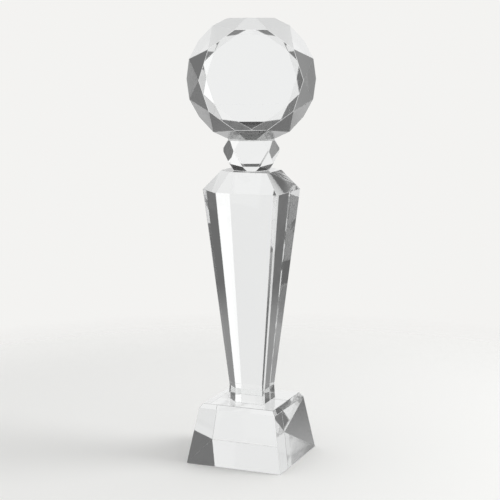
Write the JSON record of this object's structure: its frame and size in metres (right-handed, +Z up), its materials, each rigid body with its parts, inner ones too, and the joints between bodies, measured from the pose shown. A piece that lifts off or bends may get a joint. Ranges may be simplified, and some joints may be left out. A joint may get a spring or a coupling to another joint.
{
  "type": "crystal award",
  "caption": "Clear crystal award: a faceted ball and a cut bead bonded on a tall column that widens upwards, standing on a tapered square base block.",
  "frame": {"origin": "centre of the base block's underside", "axes": "+Z up along the award's axis, -Y is the front, which the base block's front face and the column's widest clear face look towards"},
  "size_m": [0.0766, 0.0717, 0.2758],
  "materials": {
    "base_crystal": "polished optical crystal",
    "column_crystal": "polished optical crystal",
    "bead_crystal": "polished optical crystal",
    "ball_crystal": "polished optical crystal",
    "adhesive": "clear cured adhesive"
  },
  "bodies": {
    "root": {"base_block": "base_crystal", "column": "column_crystal", "neck_bead": "bead_crystal", "faceted_ball": "ball_crystal", "base_bond": "adhesive", "neck_bond": "adhesive", "ball_bond": "adhesive"}
  },
  "joints": []
}
